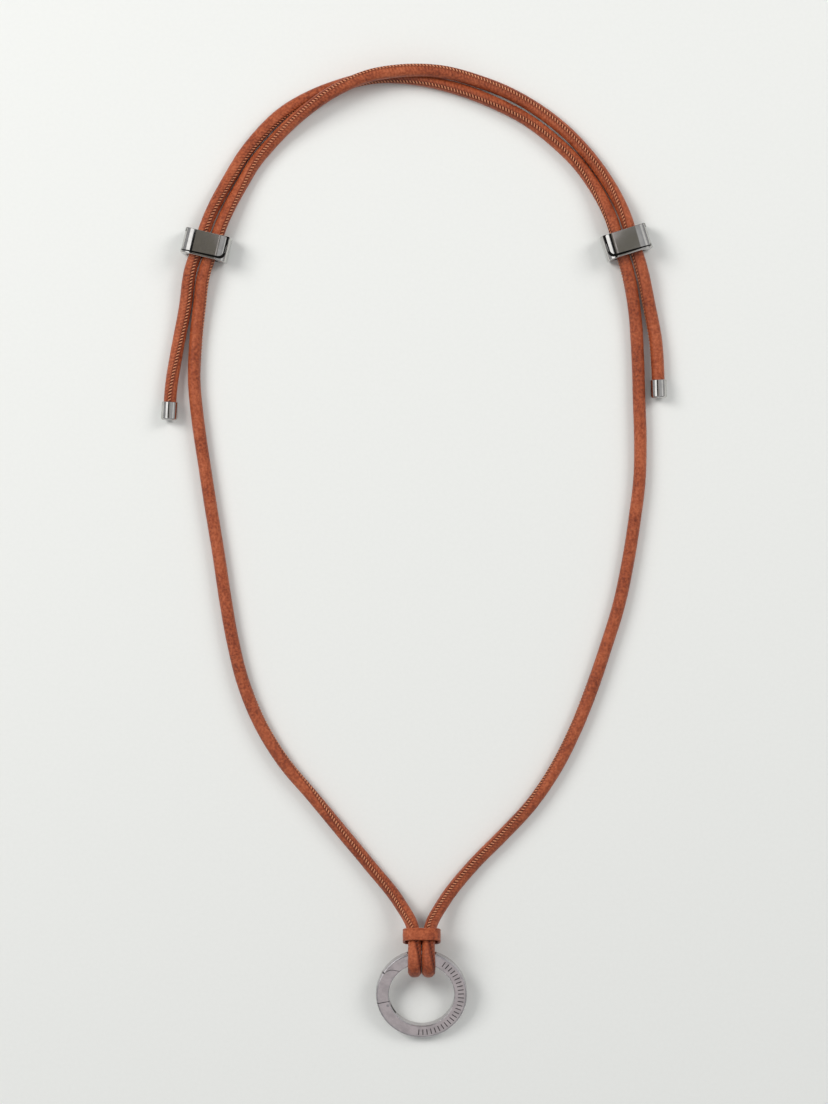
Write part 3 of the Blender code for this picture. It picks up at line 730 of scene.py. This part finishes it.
for label in ("left", "right"):
    piece, path, walked = cords[label + "_cord"]

# %% [markdown]
# ## Machined parts
# The slider bodies, their covers and the ring are cast, milled and polished. A slider or a cover
# starts as an outline carried straight along, with its edges rolled over, and the ring as a
# section carried round. Each loses what cutters of other outlines take away. A fine bevel then
# breaks every edge they left, because an edge on real polished metal always shows as a thin line.

# %% Outlines
def rounded(corners, steps=14):
    """Outline through (x, y, radius) corners: each corner becomes an arc that meets both sides."""
    outline = []
    for index, (x, y, radius) in enumerate(corners):
        here = np.array([x, y])
        if radius == 0.0:
            outline.append(here[None])
            continue
        before = unit(np.array(corners[index - 1][:2]) - here)
        after = unit(np.array(corners[(index + 1) % len(corners)][:2]) - here)
        half = math.acos(float(before @ after)) / 2.0
        centre = here + unit(before + after) * radius / math.sin(half)
        first = unit(here + before * radius / math.tan(half) - centre)
        last = unit(here + after * radius / math.tan(half) - centre)
        t = np.linspace(0.0, 1.0, steps + 1)[:, None]
        sweep = math.acos(float(np.clip(first @ last, -1.0, 1.0)))
        spokes = (np.sin((1.0 - t) * sweep) * first + np.sin(t * sweep) * last) / math.sin(sweep)
        outline.append(centre + radius * spokes)
    return np.concatenate(outline)


def sided(outline, side):
    """The outline itself, or its mirror image with its order turned round, so it stays outward."""
    outline = np.asarray(outline, dtype=float)
    return outline if side > 0 else (outline * [-1.0, 1.0])[::-1]


# %% An outline becomes a solid
def prism(name, outline, low, high, place, edge=0.0, steps=5, upright=False):
    """Outline at each height, drawn in by edge * (1 - sine) while it climbs edge * (1 - cosine).

    place turns (n, 3) local points in millimetres into world metres. An upright prism has its
    outline in X and Z, and runs along -Y.
    """
    outline = np.asarray(outline, dtype=float)
    along = unit(np.roll(outline, -1, axis=0) - np.roll(outline, 1, axis=0))
    inward = np.stack([-along[:, 1], along[:, 0]], axis=1)
    if edge > 0.0:
        turn = np.linspace(0.0, np.pi / 2.0, steps + 1)
        drawn = edge * (1.0 - np.sin(turn))
        climb = edge * (1.0 - np.cos(turn))
        drawn = np.concatenate([drawn, drawn[::-1]])
        height = np.concatenate([low + climb, high - climb[::-1]])
    else:
        drawn, height = np.zeros(2), np.array([low, high])
    flat = outline[None] + drawn[:, None, None] * inward[None]
    up = np.broadcast_to(height[:, None], flat.shape[:2])
    if upright:
        local = np.stack([flat[..., 0], -up, flat[..., 1]], axis=-1)
    else:
        local = np.stack([flat[..., 0], flat[..., 1], up], axis=-1)
    return surface(name, place(local))


# %% Cutting, joining and breaking edges
def settle(piece):
    """Bake the modifiers into the mesh, so the object carries only its final shape."""
    graph = bpy.context.evaluated_depsgraph_get()
    mesh = bpy.data.meshes.new_from_object(piece.evaluated_get(graph))
    piece.modifiers.clear()
    piece.data = mesh
    return piece


def carve(piece, cutter, operation="DIFFERENCE"):
    cut = piece.modifiers.new("cut", "BOOLEAN")
    cut.operation = operation
    cut.solver = "EXACT"
    cut.object = cutter
    cut.material_mode = "TRANSFER"
    settle(piece)
    bpy.data.objects.remove(cutter)
    return piece


def break_edges(piece, width):
    """Round every edge sharper than the limit, then shade the small faces with the large ones."""
    bevel = piece.modifiers.new("broken_edges", "BEVEL")
    bevel.width = width
    bevel.segments = 3
    bevel.limit_method = "ANGLE"
    bevel.angle_limit = math.radians(32.0)
    bevel.harden_normals = True
    return settle(piece)


def cut_from(piece, cutter, finish):
    """Carve a cutter out; its faces get near-black painted shade, or the ticks' blackening."""
    cutter.data.materials.append(finish)
    return carve(piece, cutter)


# %% [markdown]
# ## Sliders
# A slider is one bar of metal round both cords. Its section has broad shoulders and a smaller
# round at the foot. A recess in the top takes a hinged cover of the same section, so when it is
# shut only a dark line shows round it. The left slider lies a few degrees askew to its cords, so
# its channel is turned in the bar to follow them. Sizes are in millimetres, with X along the bar,
# Y along the cords and Z up; the hinge is at the end that faces away from the neck.

# %% Slider sizes
SLIDER_HALF_LENGTH = 7.2
SLIDER_HALF_WIDTH = 3.9
SLIDER_HEIGHT = 8.3
SHOULDER_WIDE = 3.8
SHOULDER_TALL = 2.6
FOOT = 1.6
CHANNEL_HEIGHT = 3.5
CHANNEL_STRAIGHT = 2.3
CHANNEL_RADIUS = 2.7
RECESS_FLOOR = 6.8
COVER_UNDERSIDE = 7.0
PIN_X = 6.3
PIN_Z = 5.3
KNUCKLE_RADIUS = 0.85
KNUCKLE_HALF_WIDTH = 2.6
KNUCKLE_PLAY = 0.2
COVER_BORE_RADIUS = 0.5
CATCH_HALF_WIDTH = 1.35
CUTTER_TOP = 10.0
ROLLED_EDGE = 0.22
BODY_BREAK = 0.10 * MM
COVER_BREAK = 0.14 * MM

# Plans have (x, y, corner radius); the slot and the catch have (x, z).
RECESS_PLAN = [(9.0, -3.35, 0.0), (9.0, 5.0, 0.0), (-6.5, 5.0, 0.0), (-6.5, -3.35, 1.8)]
COVER_PLAN = [(9.0, -3.1, 0.0), (9.0, 3.75, 0.0), (-5.8, 3.75, 0.5), (-5.8, -2.6, 1.5)]
SLOT = [(5.3, 3.9), (9.0, 3.9), (9.0, 9.0), (5.3, 9.0)]
CATCH = [(-6.55, 4.1), (-6.05, 4.1), (-6.05, 8.0), (-6.55, 8.0)]

# Side of the neck, place, turn of the bar and turn of the cords.
SLIDERS = {"left": (-1, (-63.6, 93.9), -13.5, -19.7), "right": (1, (65.0, 94.8), 17.5, 17.5)}


def slider_place(at, turn_deg):
    """Turn local points about Z and move them to the slider's place, in metres."""
    turn = math.radians(turn_deg)
    across = np.array([math.cos(turn), math.sin(turn), 0.0])
    along = np.array([-math.sin(turn), math.cos(turn), 0.0])

    def place(local):
        return MM * (np.array([*at, 0.0]) + local[..., 0:1] * across + local[..., 1:2] * along
                     + local[..., 2:3] * np.array([0.0, 0.0, 1.0]))
    return place


def slider_section():
    """Round feet and elliptical shoulders: a shoulder point is centre + (3.8 cosine, 2.6 sine)."""
    foot_x = SLIDER_HALF_LENGTH - FOOT
    reach = np.array([SHOULDER_WIDE, SHOULDER_TALL])
    shoulder = np.array([SLIDER_HALF_LENGTH, SLIDER_HEIGHT]) - reach
    return np.concatenate([
        arc((-foot_x, FOOT), FOOT, 180.0, 270.0, 14), arc((foot_x, FOOT), FOOT, 270.0, 360.0, 14),
        shoulder + reach * arc((0.0, 0.0), 1.0, 0.0, 90.0, 36),
        shoulder * [-1.0, 1.0] + reach * arc((0.0, 0.0), 1.0, 90.0, 180.0, 36)])


# %% Slider body
def slider_body(label, side, place, cords_place):
    piece = prism(label + "_slider_shell", slider_section(), -SLIDER_HALF_WIDTH, SLIDER_HALF_WIDTH,
                  place, edge=ROLLED_EDGE, upright=True)
    piece.data.materials.append(fitting_metal)
    reach = SLIDER_HALF_WIDTH + 1.0
    channel = np.concatenate([
        arc((CHANNEL_STRAIGHT, CHANNEL_HEIGHT), CHANNEL_RADIUS, -90.0, 90.0, 24),
        arc((-CHANNEL_STRAIGHT, CHANNEL_HEIGHT), CHANNEL_RADIUS, 90.0, 270.0, 24)])
    slot_half = KNUCKLE_HALF_WIDTH + KNUCKLE_PLAY
    # The channel, recess, slot and catch faces get near-black painted shade.
    cut_from(piece, prism("channel", channel, -reach, reach, cords_place, upright=True),
             recess_painted_shade)
    cut_from(piece, prism("recess", sided(rounded(RECESS_PLAN), side), RECESS_FLOOR, CUTTER_TOP,
                          place), recess_painted_shade)
    cut_from(piece, prism("slot", sided(SLOT, side), -slot_half, slot_half, place, upright=True),
             recess_painted_shade)
    cut_from(piece, prism("catch", sided(CATCH, side), -CATCH_HALF_WIDTH, CATCH_HALF_WIDTH, place,
                          upright=True), recess_painted_shade)
    return break_edges(piece, BODY_BREAK)


# %% Slider cover
def slider_cover(label, side, place):
    piece = prism(label + "_slider_lid", slider_section(), -SLIDER_HALF_WIDTH, SLIDER_HALF_WIDTH,
                  place, edge=ROLLED_EDGE, upright=True)
    piece.data.materials.append(fitting_metal)
    carve(piece, prism("plan", sided(rounded(COVER_PLAN), side), COVER_UNDERSIDE, CUTTER_TOP,
                       place), "INTERSECT")
    web = np.concatenate([[(5.75, 7.4)],
                          arc((PIN_X, PIN_Z), KNUCKLE_RADIUS, 180.0, 360.0, 24),
                          [(7.05, 6.0), (6.8, 6.7), (6.1, 7.4)]])
    carve(piece, prism("web", sided(web, side), -KNUCKLE_HALF_WIDTH, KNUCKLE_HALF_WIDTH, place,
                       upright=True), "UNION")
    bore = arc((side * PIN_X, PIN_Z), COVER_BORE_RADIUS, 0.0, 345.0, 23)
    carve(piece, prism("bore", bore, -5.0, 5.0, place, upright=True))
    return break_edges(piece, COVER_BREAK)


for label, (side, at, turn_deg, cords_turn_deg) in SLIDERS.items():
    place, cords_place = slider_place(at, turn_deg), slider_place(at, cords_turn_deg)
    finish_machined(slider_body(label, side, place, cords_place), label + "_slider",
                    label + "_slider_body")
    finish_machined(slider_cover(label, side, place), label + "_cover", label + "_slider_cover")

# %% [markdown]
# ## The spring-gate ring
# The ring is turned, then a gate is cut out of it with a curved tip, so that it can only swing
# inwards. It leans on the table at its far side and hangs in the cords at the near one. The same
# section makes ring and gate: one loses the gate's outline, the other keeps only that. A row of
# radial ticks is cut in the upper face last, after the edges are broken, so they stay crisp.

# %% Ring sizes
RING_CENTRE = np.array([2.3, -135.17046, 4.60710])
RING_LEAN = math.radians(13.4585)
RING_OUTER = 13.95
RING_INNER = 10.05
RING_HALF_THICKNESS = 1.45
OUTER_EDGE = 0.6
INNER_EDGE = 0.3
GATE_PIN = arc((0.0, 0.0), 10.85, 198.0, 198.0, 0)[0]
GATE_REACH = 11.55
GATE_SHOULDER = 2.5
GATE_HEEL = 191.0
GATE_GAP = 0.15
TONGUE_RADIUS = 0.95
TONGUE_HALF_THICKNESS = 0.6
TONGUE_GAP = 0.2
TONGUE_SIDE_GAP = 0.15
TONGUE_BORE_RADIUS = 0.45
PIN_HOLE_RADIUS = 0.42
GROOVE_RADII = (9.0, 10.8)
GROOVE_TURNS = (196.0, 219.0)
GROOVE_HALF_THICKNESS = 0.65
RING_BREAK = 0.05 * MM


def ring_place(local):
    """Lean local points about X and move them to the ring's place, in metres."""
    cosine, sine = math.cos(RING_LEAN), math.sin(RING_LEAN)
    return MM * (RING_CENTRE + local[..., 0:1] * np.array([1.0, 0.0, 0.0])
                 + local[..., 1:2] * np.array([0.0, cosine, sine])
                 + local[..., 2:3] * np.array([0.0, -sine, cosine]))


# %% Ring blank
def ring_blank(name):
    """Section carried round a circle: the columns follow the section, the rows go round."""
    thick = RING_HALF_THICKNESS
    section = rounded([(RING_INNER, -thick, INNER_EDGE), (RING_OUTER, -thick, OUTER_EDGE),
                       (RING_OUTER, thick, OUTER_EDGE), (RING_INNER, thick, INNER_EDGE)], steps=7)
    angle = np.linspace(0.0, 2.0 * np.pi, 144, endpoint=False)[:, None]
    local = np.stack([section[:, 0] * np.cos(angle), section[:, 0] * np.sin(angle),
                      np.broadcast_to(section[:, 1], (len(angle), len(section)))], axis=-1)
    piece = surface(name, ring_place(local[:, ::-1]), closed_rows=True)
    piece.data.materials.append(ring_metal)
    return piece


# %% Ticks
TICK_TURNS = np.radians(np.arange(-94.0, 60.0, 6.0))
TICK_REACH = (11.2, 13.0)
TICK_HALF_WIDTH = 0.16
TICK_DEPTH = 0.12
TICK_ABOVE = 0.5


def tick_cutter():
    """Radial bars: a corner is radius * outward, plus or minus the half width * sideways."""
    outward = np.stack([np.cos(TICK_TURNS), np.sin(TICK_TURNS)], axis=1)[:, None, None, :]
    sideways = np.stack([-np.sin(TICK_TURNS), np.cos(TICK_TURNS)], axis=1)[:, None, None, :]
    near, far = TICK_REACH
    radius = np.array([near, far, far, near])[None, None, :, None]
    side = TICK_HALF_WIDTH * np.array([-1.0, -1.0, 1.0, 1.0])[None, None, :, None]
    flat = np.broadcast_to(radius * outward + side * sideways, (len(TICK_TURNS), 2, 4, 2))
    level = np.array([RING_HALF_THICKNESS - TICK_DEPTH, RING_HALF_THICKNESS + TICK_ABOVE])
    height = np.broadcast_to(level[None, :, None, None], (len(TICK_TURNS), 2, 4, 1))
    points = ring_place(np.concatenate([flat, height], axis=-1)).reshape(-1, 3)
    box = np.array([[3, 2, 1, 0], [4, 5, 6, 7], [0, 1, 5, 4], [1, 2, 6, 5], [2, 3, 7, 6],
                    [3, 0, 4, 7]])
    faces = (box[None] + 8 * np.arange(len(TICK_TURNS))[:, None, None]).reshape(-1, 4)
    mesh = bpy.data.meshes.new("ticks")
    mesh.from_pydata(points.tolist(), [], faces.tolist())
    return add_object("ticks", mesh)


# %% Gate outline
def polar(radius, angle_deg):
    return arc((0.0, 0.0), radius, angle_deg, angle_deg, 0)


def gate_outline(gap):
    """Plan of the gate: tip round the pin, curved shoulder, small notch, then a straight heel."""
    shoulder = arc(GATE_PIN, GATE_REACH - GATE_SHOULDER, 82.0, 82.0, 0)[0]
    notch = GATE_HEEL - 40.5 - 14.0 * gap
    heel = GATE_HEEL + math.degrees(1.6 * gap / RING_OUTER)
    return np.concatenate([
        arc(GATE_PIN, GATE_REACH + gap, 58.0, 82.0, 12),
        arc(shoulder, GATE_SHOULDER + gap, 82.0, 150.0 - 60.0 * gap, 20)[1:],
        polar(15.5, notch), arc((0.0, 0.0), 15.5, notch + 10.0, heel, 3), polar(8.6, heel)])


def tongue_outline(radius, root_deg):
    return np.concatenate([arc(GATE_PIN, radius, 140.0, 395.0, 30), polar(10.2, root_deg),
                           polar(11.9, root_deg)])


# %% Ring body and gate
through = RING_HALF_THICKNESS + 1.0
slot_half = TONGUE_HALF_THICKNESS + TONGUE_SIDE_GAP
inside, outside = GROOVE_RADII
begins, ends = GROOVE_TURNS
groove = np.concatenate([arc((0.0, 0.0), outside, begins, ends, 12),
                         arc((0.0, 0.0), inside, ends, begins, 12)])
body = ring_blank("ring_band")
# The faces cut for the gate, tongue slot, spring groove and pin hole get near-black painted shade.
cut_from(body, prism("gate_place", gate_outline(GATE_GAP), -through, through, ring_place),
         recess_painted_shade)
cut_from(body, prism("tongue_slot", tongue_outline(TONGUE_RADIUS + TONGUE_GAP, 188.0),
                     -slot_half, slot_half, ring_place), recess_painted_shade)
cut_from(body, prism("spring_groove", groove, -GROOVE_HALF_THICKNESS, GROOVE_HALF_THICKNESS,
                     ring_place), recess_painted_shade)
cut_from(body, prism("pin_hole", arc(GATE_PIN, PIN_HOLE_RADIUS, 0.0, 345.0, 23), -through,
                     through, ring_place), recess_painted_shade)
break_edges(body, RING_BREAK)
cut_from(body, tick_cutter(), tick_metal)
finish_machined(body, "ring", "ring_body")

gate = ring_blank("gate_leaf")
carve(gate, prism("gate_plan", gate_outline(0.0), -through, through, ring_place), "INTERSECT")
carve(gate, prism("tongue", tongue_outline(TONGUE_RADIUS, 186.0), -TONGUE_HALF_THICKNESS,
                  TONGUE_HALF_THICKNESS, ring_place), "UNION")
carve(gate, prism("tongue_bore", arc(GATE_PIN, TONGUE_BORE_RADIUS, 0.0, 345.0, 23), -through,
                  through, ring_place))
break_edges(gate, RING_BREAK)
finish_machined(gate, "gate", "ring_gate")

# %% [markdown]
# ## Finishes for the small parts
# Pins, springs and grip inserts keep their designed shapes, so they only need a finish: each
# node's material slots are given the one that the real part has.

# %% Finishes on carried-over parts
FINISHES = {"pin": pin_metal, "spring": spring_metal, "grip_insert": grip_silicone}
for name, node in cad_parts.items():
    finish = next((made for word, made in FINISHES.items() if word in name), None)
    if finish is None or node.hide_render:
        continue
    for slot in node.material_slots:
        slot.material = finish
    print(name, "->", finish.name)

# %% [markdown]
# ## Table and light
# The table is a pale, slightly warm sheet. Two large soft lights stand beyond the top of the loop,
# one on each side, so shadows fall softly towards the ring and into the loop. Polished metal shows
# what stands round it, and a lamp would show as a glaring band, so reflections don't see the lamps.
# They see ten plain cards instead, bright, grey and black, that nothing else sees.

# %% Table
def table_top():
    made, shader, place = new_material("table_paper", Roughness=0.9, Specular_IOR_Level=0.2)
    fibres = noise(place, 900.0, 3.0)
    connect(fibres.tint((0.80, 0.805, 0.77, 1.0), (0.83, 0.835, 0.80, 1.0)), shader, "Base Color")
    return made


bpy.ops.mesh.primitive_plane_add(size=6.0, location=(0.0, 0.0, -0.0002))
table = bpy.context.object
table.name = "table"
table.data.materials.append(table_top())


# %% Lights and panels
def soft_light(name, place, width, height, power):
    """A lamp that faces the middle of the table and doesn't show in reflections."""
    data = bpy.data.lights.new(name, "AREA")
    data.shape = "RECTANGLE"
    data.size, data.size_y = width, height
    data.energy = power
    lamp = add_object(name, data)
    lamp.location = place
    lamp.rotation_euler = (-mathutils.Vector(place)).to_track_quat("-Z", "Y").to_euler()
    lamp.visible_glossy = False


def panel(name, place, width, height, shade):
    """A glowing card across X that tips towards the middle and shows only in reflections."""
    made = bpy.data.materials.new(name)
    made.use_nodes = True
    start = Wire(made.node_tree)
    glow = start.node("ShaderNodeEmission", {"Color": (*shade, 1.0), "Strength": 1.0})
    made.node_tree.links.new(glow.socket, made.node_tree.nodes["Material Output"].inputs["Surface"])
    bpy.ops.mesh.primitive_plane_add(size=1.0)
    card = bpy.context.object
    card.name = name
    card.scale = (width, height, 1.0)
    card.data.materials.append(made)
    card.location = place
    card.rotation_euler = (0.0, math.atan2(place[0], place[2]), 0.0)
    card.visible_camera = False
    card.visible_diffuse = False
    card.visible_shadow = False
    card.visible_transmission = False


soft_light("left_light", (-0.72, 0.42, 0.80), 0.45, 0.6, 7.6)
soft_light("right_light", (0.75, 0.50, 0.78), 0.45, 0.6, 4.9)
panel("left_bright", (-0.80, 0.10, 0.95), 0.62, 1.4, (1.5, 1.5, 1.5))
panel("left_black", (-0.42, 0.0, 1.4), 0.36, 1.1, (0.012, 0.012, 0.012))
panel("overhead_left", (-0.155, 0.0, 1.4), 0.17, 1.1, (0.20, 0.185, 0.16))
panel("overhead_middle", (0.01, 0.0, 1.4), 0.16, 1.1, (0.62, 0.58, 0.58))
panel("overhead_right", (0.15, 0.0, 1.4), 0.12, 1.1, (0.20, 0.19, 0.165))
panel("right_grey", (0.50, 0.0, 1.4), 0.58, 1.1, (0.55, 0.55, 0.56))
panel("right_bright", (0.95, 0.10, 0.70), 0.40, 1.4, (0.90, 0.90, 0.90))
panel("front_warm", (0.0, -1.13, 1.4), 0.9, 0.7, (0.66, 0.615, 0.62))
panel("low_left", (-1.25, 0.0, 0.35), 0.5, 1.6, (0.45, 0.45, 0.46))
panel("low_right", (1.25, 0.0, 0.35), 0.5, 1.6, (0.45, 0.45, 0.46))

# %% Sky
def studio_world():
    """Dim walls below a bright ceiling: the strength rises with the height of the direction."""
    world = bpy.data.worlds.new("studio")
    world.use_nodes = True
    shader = world.node_tree.nodes["Background"]
    start = Wire(world.node_tree)
    direction = start.node("ShaderNodeTexCoord", output="Generated")
    height = start.node("ShaderNodeSeparateXYZ", {0: direction}, output=2)
    connect(0.24 + height.ramp(0.0, 0.9) * 0.27, shader, "Strength")
    shader.inputs["Color"].default_value = (0.96, 0.97, 1.0, 1.0)
    bpy.context.scene.world = world


studio_world()
bpy.context.scene.view_settings.view_transform = "Standard"
